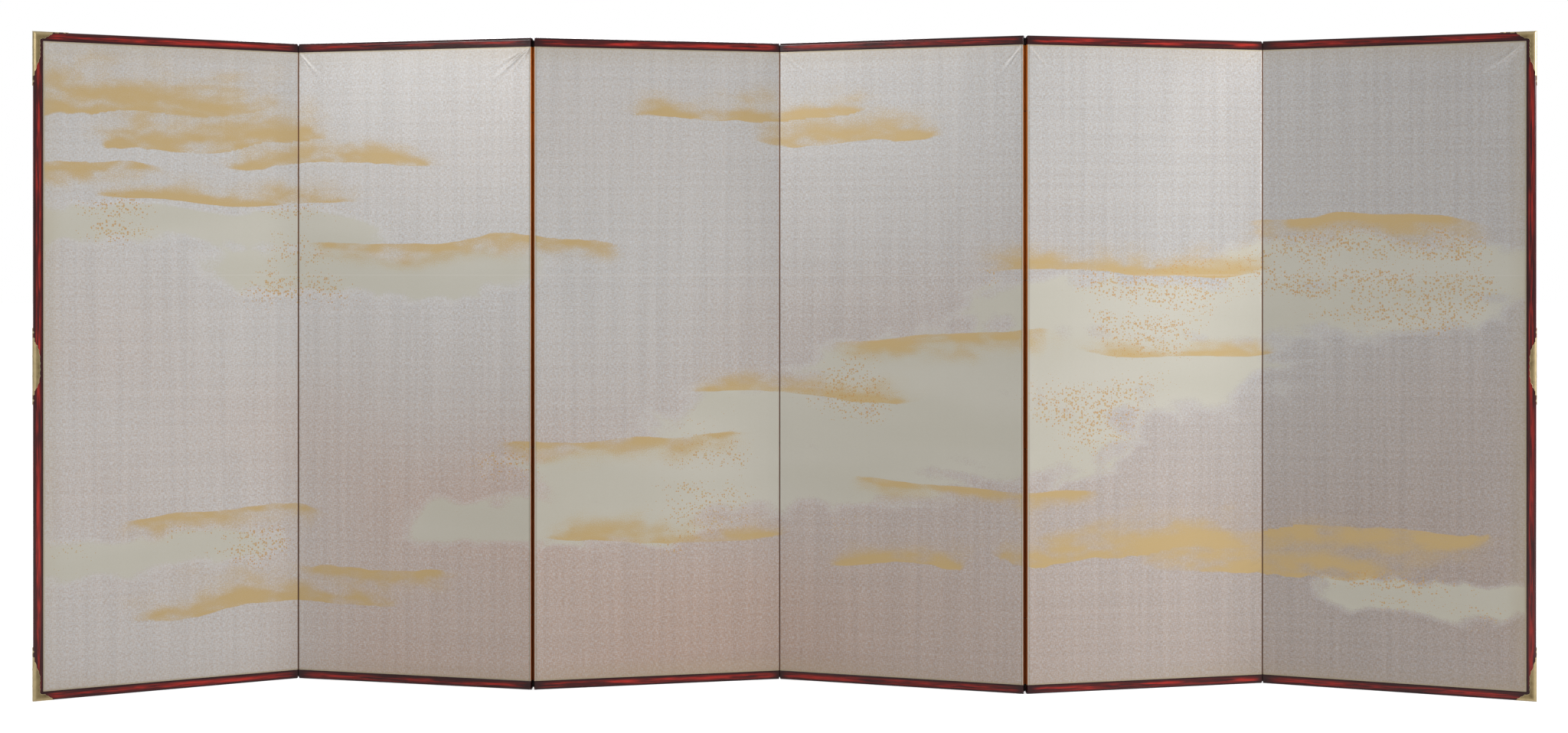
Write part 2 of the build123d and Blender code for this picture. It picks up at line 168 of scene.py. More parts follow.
# Direction from the corner in degrees above the rail, share of the height, length
FOLD_RAYS = (
    (45.0, 0.90, 0.110),
    (58.0, 0.50, 0.080),
    (67.0, 0.35, 0.045),
    (33.0, 0.40, 0.065),
    (23.0, 0.25, 0.040),
)
CORNER_REACH = 0.35  # no tension fold runs further from its corner
# Ripples along a fold edge: panel, height of the middle, spread along the edge
EDGE_RIPPLES = ((5, 0.27, 0.07),)

# Each lamp's place, width and height, and colour. All are turned towards one point.
LAMPS = (
    ("left", (-3.86, -4.88, 3.38), (1.6, 1.2), (1.0, 1.0, 1.0)),
    ("right", (5.56, -1.80, 2.66), (1.6, 1.6), (1.0, 1.0, 1.0)),
    ("top", (0.0, -1.4, 4.2), (4.6, 1.6), (0.93, 0.95, 1.0)),
    ("back", (-0.9, 5.0, 3.0), (3.2, 1.6), (1.0, 1.0, 1.0)),
)
AIM = (0.0, 0.0, 0.95)


# ---- settings


def shade(name, description, colour):
    return FloatVectorProperty(
        name=name, description=description, default=colour, subtype="COLOR", min=0.0, max=1.0
    )


def measure(name, description, default, unit="NONE"):
    return FloatProperty(name=name, description=description, default=default, unit=unit)


class ByobuPapers(bpy.types.PropertyGroup):
    """Papers, their design and their folds."""

    columns: IntProperty(
        name="Columns", description="Faces across a painted paper", default=160, min=20, max=200
    )
    rows: IntProperty(
        name="Rows", description="Faces up a painted paper", default=320, min=40, max=400
    )
    fold_height: measure("Fold height", "How far a full tension fold stands off", 0.0017, "LENGTH")
    slackness: measure("Slackness", "How far the paper wanders off the flat", 0.00035, "LENGTH")
    ground: shade("Ground", "Tinted silk under the mica", (0.375, 0.338, 0.300))
    mica: shade("Mica", "Silvery mica flecks over the ground", (0.398, 0.405, 0.416))
    blush: shade("Blush", "Warm tint in the lower ground", (0.342, 0.236, 0.182))
    mist: shade("Mist", "Pale celadon mist bands", (0.412, 0.394, 0.330))
    mist_light: shade("Mist, light", "Lighter drifts in the mist", (0.436, 0.418, 0.358))
    gold: shade("Gold", "Gold wash of the clouds", (0.400, 0.285, 0.125))
    flake: shade("Gold flakes", "Sprinkled gold leaf", (0.400, 0.235, 0.085))
    edge: shade("Edge strip", "Tan strip along the rails", (0.330, 0.270, 0.175))
    cream: shade("Cream edge", "Turned paper along an open fold", (0.520, 0.485, 0.400))
    backing: shade("Backing", "Ochre paper on the back", (0.330, 0.205, 0.090))
    print_tone: shade("Back print", "Small block print on the back", (0.190, 0.105, 0.040))
    hinge_light: shade("Hinge, high", "Hinge paper near the top", (0.610, 0.190, 0.014))
    hinge_deep: shade("Hinge, low", "Hinge paper lower down", (0.250, 0.058, 0.006))


class ByobuFrame(bpy.types.PropertyGroup):
    """Lacquer, brass and the wood inside."""

    lacquer_red: shade("Lacquer red", "Red that glows through on a face", (0.460, 0.027, 0.018))
    lacquer_dark: shade("Lacquer dark", "Blackish maroon at the edges", (0.0260, 0.0052, 0.0058))
    brass: shade("Brass", "Aged gilt brass", (0.205, 0.155, 0.078))
    # brass rubbed by hands, partly a painted highlight round the fittings' outer edges
    rubbed_and_highlight_brass: shade("Rubbed brass", "Brass rubbed by hands", (0.335, 0.268, 0.150))
    # lighter brass of the beads, partly a painted highlight along the fittings' edges
    rim_brass: shade("Rim brass", "Brass of the beads round the fittings", (0.430, 0.360, 0.215))
    tarnish: shade("Tarnish", "Dull brown in the hollows of the brass", (0.078, 0.052, 0.024))
    rim_radius: measure("Rim radius", "Of the bead round a fitting's edge", 0.00034, "LENGTH")
    cedar: shade("Cedar", "Planed sticks of the core", (0.560, 0.360, 0.200))
    bamboo: shade("Bamboo", "Pegs", (0.600, 0.440, 0.220))


class ByobuStage(bpy.types.PropertyGroup):
    """Camera, lamps and floor."""

    camera_x: measure("Camera X", "Camera along the screen", -0.0947, "LENGTH")
    camera_y: measure("Camera Y", "Camera in front of the screen", -5.6676, "LENGTH")
    camera_z: measure("Camera height", "Camera above the floor", 1.1137, "LENGTH")
    lens: measure("Lens", "Focal length in millimetres", 49.593, "CAMERA")
    shift_x: measure("Shift X", "Sideways lens shift", 0.02337)
    shift_y: measure("Shift Y", "Upward lens shift", -0.06474)
    left_power: measure("Left lamp", "Power of the left lamp", 160.0, "POWER")
    right_power: measure("Right lamp", "Power of the right lamp", 335.0, "POWER")
    top_power: measure("Top lamp", "Power of the overhead lamp", 6.0, "POWER")
    back_power: measure("Back lamp", "Power of the lamp behind the screen", 260.0, "POWER")
    ambient: measure("Ambient", "Strength of the light from all round", 0.14)


# ---- node wiring


class Wiring:
    """Adds nodes to a tree, a line each. A value is a number, a vector or another socket."""

    def __init__(self, tree):
        self.tree = tree

    def put(self, socket, value):
        if isinstance(value, bpy.types.NodeSocket):
            self.tree.links.new(value, socket)
        elif socket.type == "RGBA" and len(value) == 3:
            socket.default_value = (*value, 1.0)
        else:
            socket.default_value = value

    def node(self, kind, *values, **settings):
        made = self.tree.nodes.new("ShaderNode" + kind)
        for name, value in settings.items():
            setattr(made, name, value)
        for socket, value in zip(made.inputs, values):
            self.put(socket, value)
        return made

    def math(self, operation, *values, clamp=False):
        return self.node("Math", *values, operation=operation, use_clamp=clamp).outputs[0]

    def times(self, first, *others, clamp=False):
        """The product of two or more values."""
        for other in others:
            first = self.math("MULTIPLY", first, other, clamp=clamp)
        return first

    def plus(self, first, *others, clamp=False):
        """The sum of two or more values."""
        for other in others:
            first = self.math("ADD", first, other, clamp=clamp)
        return first

    def less(self, value, other):
        return self.math("SUBTRACT", value, other)

    def apart(self, value, other):
        """How far two values are from each other."""
        return self.math("ABSOLUTE", self.less(value, other))

    def length(self, x, y):
        return self.node("VectorMath", self.join(x, y), operation="LENGTH").outputs["Value"]

    def scaled(self, vector, *scale):
        return self.node("VectorMath", vector, scale, operation="MULTIPLY").outputs["Vector"]

    def split(self, vector):
        return self.node("SeparateXYZ", vector).outputs

    def join(self, x, y, z=0.0):
        return self.node("CombineXYZ", x, y, z).outputs[0]

    def ramp(self, value, low, high, out_low=0.0, out_high=1.0):
        """A smooth step of value from low to high."""
        ends = (low, high, out_low, out_high)
        return self.node("MapRange", value, *ends, interpolation_type="SMOOTHSTEP").outputs[0]

    def swing(self, value, low, high, amount):
        """A smooth step from minus amount to amount."""
        return self.ramp(value, low, high, -amount, amount)

    def mix(self, factor, first, second, blend="MIX"):
        made = self.node("Mix", data_type="RGBA", blend_type=blend)
        for index, value in ((0, factor), (6, first), (7, second)):
            self.put(made.inputs[index], value)
        return made.outputs[2]

    def fill(self, made, **values):
        """Gives a node's inputs their values by name, and returns its outputs."""
        for name, value in values.items():
            self.put(made.inputs[name], value)
        return made.outputs

    def noise(self, place, scale, detail=2.0, roughness=0.5):
        """Soft noise at one scale, or at one for each direction."""
        if isinstance(scale, tuple):
            place, scale = self.scaled(place, *scale), 1.0
        made = self.node("TexNoise")
        return self.fill(made, Vector=place, Scale=scale, Detail=detail, Roughness=roughness)[0]

    def bump(self, height, distance):
        return self.fill(self.node("Bump"), Strength=1.0, Distance=distance, Height=height)[0]

    def place(self):
        return self.node("TexCoord").outputs["Object"]

    def attribute(self, name):
        return self.node("Attribute", attribute_name=name).outputs

    def effect(self, group, **values):
        return self.fill(self.node("Group", node_tree=group), **values)


NUMBER, VECTOR, COLOUR = "NodeSocketFloat", "NodeSocketVector", "NodeSocketColor"


def shared_effect(name, inputs, outputs):
    """Makes of a function, which wires up an effect and returns what it puts out, one that
    gives the effect's node group, built when it is first asked for."""

    def wrap(build):
        def group():
            if name in bpy.data.node_groups:
                return bpy.data.node_groups[name]
            tree = bpy.data.node_groups.new(name, "ShaderNodeTree")
            for way, sockets in (("INPUT", inputs), ("OUTPUT", outputs)):
                for label, kind in sockets.items():
                    tree.interface.new_socket(name=label, in_out=way, socket_type=kind)
            wiring = Wiring(tree)
            given = tree.nodes.new("NodeGroupInput").outputs[: len(inputs)]
            result = tree.nodes.new("NodeGroupOutput")
            for socket, value in zip(result.inputs, build(wiring, *given)):
                wiring.put(socket, value)
            return tree

        return group

    return wrap


@shared_effect(
    "Lengthwise grain",
    {"Along": NUMBER, "Across": NUMBER, "Depth": NUMBER},
    {"Long": NUMBER, "Fine": NUMBER},
)
def lengthwise_grain(w, along, across, depth):
    """Streaks that run along a stick, from long soft ones to fine short ones."""
    place = w.join(along, across, depth)
    long = w.noise(place, (7.0, 150.0, 150.0), 3.0, 0.6)
    return long, w.noise(place, (30.0, 560.0, 560.0), 2.0, 0.55)


@shared_effect(
    "Fine weave",
    {"Place": VECTOR, "Pitch": NUMBER},
    {"Height": NUMBER, "Slubs": NUMBER},
)
def fine_weave(w, place, pitch):
    """Threads of plain silk or the fibres of kozo paper, with slubs, as a height."""
    x, y, z = w.split(place)
    count = w.math("DIVIDE", 2 * math.pi, pitch)
    warp, weft = [w.math("SINE", w.times(way, count)) for way in (x, y)]
    fine, long = w.math("DIVIDE", 0.55, pitch), w.math("DIVIDE", 0.14, pitch)
    upright = w.noise(w.join(w.times(x, fine), w.times(y, long), z), 1.0, 1.0)
    level = w.noise(w.join(w.times(x, long), w.times(y, fine), z), 1.0, 1.0)
    slubs = w.times(w.plus(upright, level), 0.5)
    return w.plus(w.times(warp, weft, 0.10), slubs), slubs


@shared_effect(
    "Lacquer depth",
    dict.fromkeys(("Along", "Face", "Depth", "End"), NUMBER) | {"Red": COLOUR, "Dark": COLOUR},
    {"Colour": COLOUR, "Roughness": NUMBER, "Height": NUMBER},
)
def lacquer_depth(w, along, face, depth, end, red, dark):
    """Red lacquer that glows through in the middle of each face of a stick, and goes nearly
    black at its arrises and ends. Face and Depth run from 0 in the middle to 1 at an arris."""
    across, deep = w.times(face, FRAME_FACE / 2), w.times(depth, HALF_DEPTH)
    grain = w.effect(lengthwise_grain(), Along=along, Across=across, Depth=deep)
    arris = w.math("MINIMUM", w.math("ABSOLUTE", face), w.math("ABSOLUTE", depth))
    glow = w.ramp(arris, 0.80, 0.08)
    place = w.join(along, face, depth)
    cloudy = w.ramp(w.noise(place, (11.0, 1.0, 1.0)), 0.30, 0.66, 0.42, 1.0)
    streak = w.ramp(grain["Long"], 0.39, 0.62, 0.08, 1.12)
    thread = w.ramp(grain["Fine"], 0.35, 0.75, 0.85, 1.08)
    amount = w.times(glow, cloudy, streak, thread)
    amount = w.times(amount, w.ramp(end, 0.002, 0.034, 0.04, 1.0), clamp=True)
    speck = w.noise(place, (90.0, 3.0, 3.0), 3.0)
    return w.mix(amount, dark, red), w.ramp(speck, 0.2, 0.8, 0.13, 0.22), grain["Long"]


@shared_effect(
    "Handled brass",
    {"Place": VECTOR, "Bright": COLOUR, "Dull": COLOUR, "Amount": NUMBER},
    {"Colour": COLOUR, "Roughness": NUMBER, "Height": NUMBER},
)
def handled_brass(w, place, bright, dull, amount):
    """Aged brass: cloudy tarnish, fine rubbing and small pits."""
    cloud = w.noise(place, 55.0, 4.0, 0.6)
    pits = w.ramp(w.noise(place, 620.0, 3.0, 0.6), 0.62, 0.74)
    rubbed = w.noise(place, (1400.0, 1400.0, 168.0))
    worn = w.times(w.ramp(cloud, 0.38, 0.66, 0.30, 1.0), amount)
    worn = w.math("MAXIMUM", worn, w.times(pits, 0.55))
    rough = w.plus(w.ramp(rubbed, 0.3, 0.7, 0.32, 0.44), w.times(worn, 0.16))
    return w.mix(worn, bright, dull), rough, w.less(w.times(rubbed, 0.25), pits)


# ---- materials


def empty_wiring(owner):
    """The wiring of a world or material, with no nodes in it."""
    owner.use_nodes = True
    owner.node_tree.nodes.clear()
    return Wiring(owner.node_tree)


class Finish(Wiring):
    """The wiring of a new material with a Principled shader."""

    def __init__(self, name, specular=0.5, metallic=0.0):
        self.material = bpy.data.materials.new(name)
        self.material.use_nodes = True
        super().__init__(self.material.node_tree)
        self.shader = self.tree.nodes["Principled BSDF"].inputs
        self.shader["Specular IOR Level"].default_value = specular
        self.shader["Metallic"].default_value = metallic

    def dress(self, colour, roughness, height, distance):
        """Wires up what every finish has, and returns the material."""
        self.put(self.shader["Base Color"], colour)
        self.put(self.shader["Roughness"], roughness)
        self.put(self.shader["Normal"], self.bump(height, distance))
        return self.material


def panel_place(w, number):
    """A panel's own coordinates, from those of the object."""
    place, _, _ = PLACES[number].decompose()
    turn = (0.0, 0.0, math.radians(HEADINGS[number - 1]))
    return w.node("Mapping", w.place(), tuple(place), turn, vector_type="TEXTURE").outputs[0]


def from_middle(w, x, z):
    """How far a place is from the upright and the level middle line of its panel."""
    return w.apart(x, PANEL_WIDTH / 2), w.apart(z, SCREEN_HEIGHT / 2)


def lacquer_finish(number, upright):
    """Lacquer for one panel's rails, or for the post beside it."""
    colours = bpy.context.scene.byobu_frame
    w = Finish(f"lacquer_{number}_{'post' if upright else 'rails'}", specular=0.18)
    x, y, z = w.split(panel_place(w, number))
    from_middle_x, from_middle_z = from_middle(w, x, z)
    half_stick = FRAME_FACE / 2
    if upright:
        along, across, stick = z, from_middle_x, PANEL_WIDTH / 2 + half_stick
        end = w.less(SCREEN_HEIGHT / 2 - FRAME_FACE * 0.6, from_middle_z)
    else:
        along, across, stick = x, from_middle_z, SCREEN_HEIGHT / 2 - half_stick
        end = w.less(PANEL_WIDTH / 2, from_middle_x)
    face = w.math("DIVIDE", w.less(across, stick), half_stick)
    depth = w.math("DIVIDE", y, HALF_DEPTH)
    # each stick has a grain of its own
    along = w.plus(along, 3.7 * number)
    tones = {"Red": colours.lacquer_red, "Dark": colours.lacquer_dark}
    layers = w.effect(lacquer_depth(), Along=along, Face=face, Depth=depth, End=end, **tones)
    return w.dress(layers["Colour"], layers["Roughness"], layers["Height"], 0.00003)


def brass_finish(name, bright, dull, amount, roughness_gain=0.0, number=None):
    """Brass, on a numbered panel lighter round its outer edge, partly rubbing and partly painted
    highlight, and duller inwards, partly tarnish and partly painted shade.
    """
    w = Finish(name, metallic=1.0)
    if number:
        x, _, z = w.split(panel_place(w, number))
        across, up = from_middle(w, x, z)
        in_x, in_z = w.less(PANEL_WIDTH / 2 + FRAME_FACE, across), w.less(SCREEN_HEIGHT / 2, up)
        inward = w.math("MINIMUM", in_x, in_z)
        # tarnish gathering inwards, partly painted shade across the plate
        amount = w.ramp(inward, 0.004, 0.017, 0.3 * amount, amount)
        rubbed = bpy.context.scene.byobu_frame.rubbed_and_highlight_brass
        # a lighter band round the outer rounding, partly rubbing and partly painted highlight
        bright = w.mix(w.ramp(inward, 0.0095, 0.0035), bright, rubbed)
    metal = w.effect(handled_brass(), Place=w.place(), Bright=bright, Dull=dull, Amount=amount)
    rough = w.plus(metal["Roughness"], roughness_gain)
    return w.dress(metal["Colour"], rough, metal["Height"], 0.00004)


def silk_ground(w, tones, place, broad, mottle, speckle):
    """How the mica lies in flecks, and silvery silk with a warm tint low on some panels, painted
    light high in the middle and painted shade low on the right.
    """
    u, v, _ = w.split(place)
    low = w.times(
        w.ramp(v, 1.15, 0.05, 0.0, 0.62),
        w.ramp(u, 2.4, 3.1, 1.0, 0.65),
        w.ramp(u, 0.45, 0.95, 0.25, 1.0),
    )
    patchy = w.times(w.ramp(broad, 0.35, 0.75, 0.0, 0.3), w.ramp(v, 1.4, 0.7, 0.3, 1.0))
    warm = w.plus(low, patchy, clamp=True)
    flecks = w.ramp(speckle, 0.34, 0.66)
    ground = w.mix(flecks, tones.ground, tones.mica)
    ground = w.mix(w.times(warm, w.ramp(flecks, 0.0, 1.0, 1.25, 0.62)), ground, tones.blush)
    # marks of the brush and the threads, darker to the right
    tone_and_painted_light = w.plus(
        w.ramp(u, 0.2, 3.8, 1.08, 0.92),
        w.swing(w.noise(place, (60.0, 1.5, 1.0), 1.0), 0.3, 0.7, 0.030),
        w.swing(w.noise(place, (1.2, 70.0, 1.0), 1.0), 0.3, 0.7, 0.018),
        w.swing(mottle, 0.3, 0.7, 0.05),
        w.swing(speckle, 0.36, 0.64, 0.04),
        # painted light high in the middle of the screen, and painted shade low on the right
        w.times(w.ramp(u, 0.5, 0.8), w.ramp(u, 2.9, 2.5), w.ramp(v, 0.7, 1.5, 0.0, 0.045)),
        w.times(w.ramp(u, 3.1, 3.5, 0.0, -0.11), w.ramp(v, 1.2, 0.3)),
    )
    return flecks, w.mix(1.0, ground, w.join(tone_and_painted_light, tone_and_painted_light, tone_and_painted_light), "MULTIPLY")


def washed_design(w, tones, place, ground):
    """The ground with mist, gold clouds and strewn leaf on it, and how much mist and gold."""
    mist_field, gold_field, soft = w.split(w.attribute("design")["Vector"])
    # mist has soft bodies, powdered edges and a pale line along them
    powder = w.noise(place, 420.0, 1.0)
    drift = w.noise(place, (34.0, 54.4, 1.0), 1.0)
    edge = w.plus(mist_field, w.swing(powder, 0.2, 0.8, 0.16), w.swing(drift, 0.2, 0.8, 0.05))
    mist = w.ramp(edge, 0.10, -0.16)
    drifts = w.ramp(w.noise(place, (1.92, 7.2, 1.0), 1.0), 0.35, 0.7)
    painted = w.mix(w.times(mist, 0.88), ground, w.mix(drifts, tones.mist, tones.mist_light))
    pale_line = w.times(w.ramp(edge, 0.26, 0.08, 0.0, 0.30), w.ramp(edge, 0.0, 0.08))
    painted = w.mix(pale_line, painted, (0.50, 0.49, 0.47))
    # gold clouds are crisp above and fade below
    softness = w.ramp(soft, 0.0, 1.0, 0.10, 1.8)
    washed = w.noise(place, (7.0, 15.4, 1.0), 2.0, 0.6)
    gold = w.ramp(w.math("DIVIDE", gold_field, softness), 0.30, -0.75)
    gold = w.times(gold, w.ramp(washed, 0.25, 0.62, 0.35, 1.0))
    dusted = w.plus(gold, w.swing(powder, 0.25, 0.75, 0.20))
    gold = w.times(w.ramp(dusted, 0.05, 1.0), w.ramp(gold, 0.0, 0.10))
    painted = w.mix(w.times(gold, 0.95), painted, tones.gold)
    # flakes of leaf are strewn where mist and ground meet
    here = w.ramp(w.noise(place, (1.9, 2.28, 1.0), 1.0), 0.46, 0.62)
    strewn = w.times(w.ramp(edge, 1.3, 0.0), w.ramp(edge, -1.1, -0.5, 0.35, 1.0), here)
    leaf = w.fill(w.node("TexVoronoi"), Vector=place, Scale=185.0)
    chance, glint, _ = w.split(leaf["Color"])
    size = w.times(w.less(w.times(strewn, 1.05), chance), 0.62)
    flakes = w.ramp(w.less(size, leaf["Distance"]), 0.0, 0.05, 0.0, 0.85)
    leaf_tone = w.mix(w.ramp(glint, 0.4, 0.8), tones.flake, tones.gold)
    return w.mix(flakes, painted, leaf_tone), mist, gold


def worn_and_shaded_paper(w, tones, painted, place, broad, mottle):
    """The painted paper with a painted highlight on its fold ridges and painted shade in their
    hollows and along the folds, a seam, aged borders, spots and worked edges.
    """
    by_shut, by_open, by_stick = w.split(w.attribute("border")["Vector"])
    ridge = w.attribute("ridge")["Fac"]
    # painted highlight along the ridges of the tension folds, and painted shade in their hollows
    painted = w.mix(w.ramp(ridge, 0.0006, 0.0030, 0.0, 0.55), painted, (0.56, 0.54, 0.51))
    painted = w.mix(w.ramp(ridge, -0.0003, -0.0011, 0.0, 0.30), painted, (0.20, 0.17, 0.14))
    seam = w.apart(w.split(place)[1], PAPER_JOIN - PAPER_LOW)
    painted = w.mix(w.ramp(seam, 0.0016, 0.0006, 0.0, 0.30), painted, (0.50, 0.48, 0.45))
    aged = w.times(w.ramp(by_stick, 0.060, 0.0), w.ramp(broad, 0.35, 0.65, 0.10, 0.34))
    painted = w.mix(aged, painted, tones.edge)
    spots = w.times(w.ramp(mottle, 0.72, 0.78), w.ramp(by_stick, 0.30, 0.02, 0.08, 0.40))
    painted = w.mix(spots, painted, (0.200, 0.145, 0.085))
    # a strip along the rails and turned edges at the open folds, then painted shade by the folds
    painted = w.mix(w.ramp(by_stick, 0.0046, 0.0024, 0.0, 0.75), painted, tones.edge)
    painted = w.mix(w.ramp(by_open, 0.0032, 0.0022, 0.0, 0.55), painted, tones.cream)
    # painted shade: a dark line for a groove beside an open fold, and a wider shade beside it
    groove_shade = w.times(w.ramp(by_open, 0.0026, 0.0034, 0.0, 0.45), w.ramp(by_open, 0.0050, 0.0040))
    beside = w.ramp(by_open, 0.0075, 0.0040, 0.0, 0.12)
    # painted shade along the shut folds
    shut = w.ramp(by_shut, 0.0022, 0.0003, 0.0, 0.28)
    return w.mix(w.plus(groove_shade, beside, shut, clamp=True), painted, (0.090, 0.062, 0.040))


def painted_paper():
    """Silk with a mica ground, celadon mist and gold clouds, all across the screen."""
    tones = bpy.context.scene.byobu_papers
    w = Finish("painted_paper", specular=0.35)
    place = w.attribute("screen_place")["Vector"]
    broad = w.noise(place, (0.88, 1.6, 1.0), 1.0)
    mottle = w.noise(place, 190.0, 1.0)
    weave = w.effect(fine_weave(), Place=place, Pitch=0.0011)
    speckle = weave["Slubs"]
    flecks, ground = silk_ground(w, tones, place, broad, mottle, speckle)
    painted, mist, gold = washed_design(w, tones, place, ground)
    painted = worn_and_shaded_paper(w, tones, painted, place, broad, mottle)
    mica = w.times(w.ramp(flecks, 0.0, 1.0, 0.26, 0.36), w.less(1.0, w.times(mist, 0.15)))
    w.put(w.shader["Metallic"], w.math("MAXIMUM", mica, w.times(gold, 0.34)))
    rough = w.plus(w.ramp(speckle, 0.3, 0.7, 0.40, 0.45), w.times(mist, 0.02))
    return w.dress(painted, rough, weave["Height"], 0.00005)


def backing_paper():
    """Ochre paper with a small printed blossom in staggered rows."""
    tones = bpy.context.scene.byobu_papers
    w = Finish("backing_paper", specular=0.25)
    place = w.attribute("screen_place")["Vector"]
    by_shut, by_open, by_stick = w.split(w.attribute("border")["Vector"])
    x, y, _ = w.split(place)
    blossoms = []
    for shift in (0.0, 0.5):
        steps = [w.plus(w.math("DIVIDE", way, PRINT_PITCH), shift) for way in (x, y)]
        across, up = [w.less(w.math("FRACT", step), 0.5) for step in steps]
        out = w.length(across, up)
        turn = w.math("ARCTAN2", up, across)
        waves = w.math("ABSOLUTE", w.math("COSINE", w.times(turn, 2.5)))
        petals = w.ramp(w.less(w.plus(0.105, w.times(waves, 0.095)), out), -0.006, 0.010)
        blossoms.append(w.times(petals, w.ramp(out, 0.030, 0.042)))
    fibre = w.effect(fine_weave(), Place=place, Pitch=0.0016)
    worn = w.ramp(w.noise(place, 42.0, 3.0, 0.65), 0.30, 0.62, 0.0, 0.75)
    cloudy = w.noise(place, (3.1, 1.86, 1.0), 4.0, 0.6)
    base = w.mix(w.ramp(cloudy, 0.3, 0.72, 0.0, 0.55), tones.backing, (0.245, 0.140, 0.055))
    base = w.mix(w.ramp(fibre["Slubs"], 0.55, 0.8, 0.0, 0.35), base, (0.45, 0.31, 0.16))
    base = w.mix(w.times(w.math("MAXIMUM", *blossoms), worn), base, tones.print_tone)
    nearest = w.math("MINIMUM", by_stick, w.math("MINIMUM", by_shut, by_open))
    base = w.mix(w.ramp(nearest, 0.010, 0.0, 0.0, 0.45), base, tones.print_tone)
    return w.dress(base, w.ramp(cloudy, 0.3, 0.7, 0.72, 0.86), fibre["Height"], 0.00015)


def hinge_finish(name, light, deep):
    """Toned kozo paper of the hinges, lighter near the top, with painted shade at the slits between
    its strips and between the rails."""
    w = Finish(name, specular=0.3)
    place = w.place()
    z = w.split(place)[2]
    grain = w.noise(place, (240.0, 240.0, 24.0), 3.0, 0.6)
    patch = w.ramp(w.noise(place, (7.0, 7.0, 4.9), 3.0), 0.30, 0.62, 0.65, 1.0)
    high = w.times(w.ramp(z, PAPER_HIGH - 1.15, PAPER_HIGH - 0.05), patch)
    colour = w.mix(high, deep, light)
    colour = w.mix(w.ramp(grain, 0.35, 0.75, 0.0, 0.12), colour, (0.42, 0.17, 0.03))
    stains = w.ramp(w.noise(place, 95.0, 3.0), 0.55, 0.72, 0.0, 0.14)
    colour = w.mix(stains, colour, (0.060, 0.020, 0.004))
    off_middle = w.apart(z, SCREEN_HEIGHT / 2)
    strip = (PAPER_HEIGHT - 2 * HINGE_END) / 3
    # painted shade where the strips meet and where the paper passes between the rails
    slits = [w.apart(off_middle, share * strip) for share in (0.5, 1.5)]
    slit_shade = w.ramp(w.math("MINIMUM", *slits), HINGE_SLIT, HINGE_SLIT / 2)
    shade_between_rails = w.ramp(off_middle, PAPER_HEIGHT / 2 - 0.001, PAPER_HEIGHT / 2)
    colour = w.mix(w.math("MAXIMUM", slit_shade, shade_between_rails), colour, (0.010, 0.006, 0.005))
    return w.dress(colour, w.ramp(grain, 0.3, 0.7, 0.60, 0.78), grain, 0.00012)


def wood_finish(name, tone_and_painted_light, deep, slim):
    """Straight-grained wood, with its length up the panel."""
    w = Finish(name)
    place = w.place()
    x, y, z = w.split(place)
    grain = w.effect(lengthwise_grain(), Along=z, Across=x, Depth=y)
    rings = w.noise(place, (slim, slim, 2.0), 3.0)
    colour = w.mix(w.ramp(grain["Long"], 0.35, 0.7), tone_and_painted_light, deep)
    colour = w.mix(w.ramp(rings, 0.45, 0.6, 0.0, 0.4), colour, deep)
    fine = grain["Fine"]
    return w.dress(colour, w.ramp(fine, 0.3, 0.7, 0.58, 0.74), fine, 0.00015)


# ---- making pieces


def object_from(name, data):
    """A new object at the origin, in the scene."""
    made = bpy.data.objects.new(name, data)
    bpy.context.scene.collection.objects.link(made)
    return made


def turn_outwards(bm):
    bmesh.ops.recalc_face_normals(bm, faces=bm.faces[:])


def coat(node, made):
    """Gives a CAD node its finish."""
    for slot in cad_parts[node].material_slots:
        slot.material = made


def piece_from(bm, name, made):
    """A finished piece at the origin, with its place in its mesh."""
    mesh = bpy.data.meshes.new(name)
    bm.to_mesh(mesh)
    bm.free()
    mesh.materials.append(made)
    piece = object_from(name, mesh)
    return piece


def smooth(value, low, high):
    share = min(1.0, max(0.0, (value - low) / (high - low)))
    return share * share * (3.0 - 2.0 * share)


def falloff(value, width):
    return math.exp(-((value / width) ** 2))


def tension(x, z, strengths, fold_height):
    """Height of the tension folds at a place on a painted paper."""
    width, height = PANEL_WIDTH, PAPER_HEIGHT
    rises = 0.0
    corners = ((x, height - z), (width - x, height - z), (x, z), (width - x, z))
    for strength, (in_x, in_z) in zip(strengths, corners):
        if max(in_x, in_z) > CORNER_REACH:
            continue
        for degrees, share, length in FOLD_RAYS:
            # each corner's fan of folds is turned a little its own way
            turn = math.radians(degrees + 6.0 * math.sin(17.0 * strength))
            along = in_x * math.cos(turn) + in_z * math.sin(turn)
            aside = in_z * math.cos(turn) - in_x * math.sin(turn)
            if along <= 0.0:
                continue
            spread = 0.0020 + 0.022 * along
            body = smooth(along, 0.0, 0.022) * falloff(along, length * (0.5 + 0.3 * strength))
            hollow = falloff(aside + 2.1 * spread, 1.4 * spread)
            rises += strength * share * body * (falloff(aside, spread) - 0.45 * hollow)
    return fold_height * rises


def ripples(number, x, z, fold_height):
    """Height of the small ripples along a fold edge."""
    rises = 0.0
    for panel, middle, reach in EDGE_RIPPLES:
        aside = PANEL_WIDTH - x
        if panel == number and aside < 0.14:
            body = falloff(aside, 0.05) * falloff(z - middle, reach)
            rises += 0.55 * body * math.sin((z + 0.55 * aside) * 2 * math.pi / 0.026)
    return fold_height * rises


def crowded(share):
    """Sets even steps closer together near both ends."""
    return share - CROWDING * math.sin(2 * math.pi * share) / (2 * math.pi)


def wandered(places, scale, amount, seed):
    """Places carried off by soft noise, so that an edge painted there wanders."""
    push = [noise.noise_vector(Vector((scale * u, 1.6 * scale * v, seed))) for u, v in places]
    return places + np.array(push)[:, :2] * amount


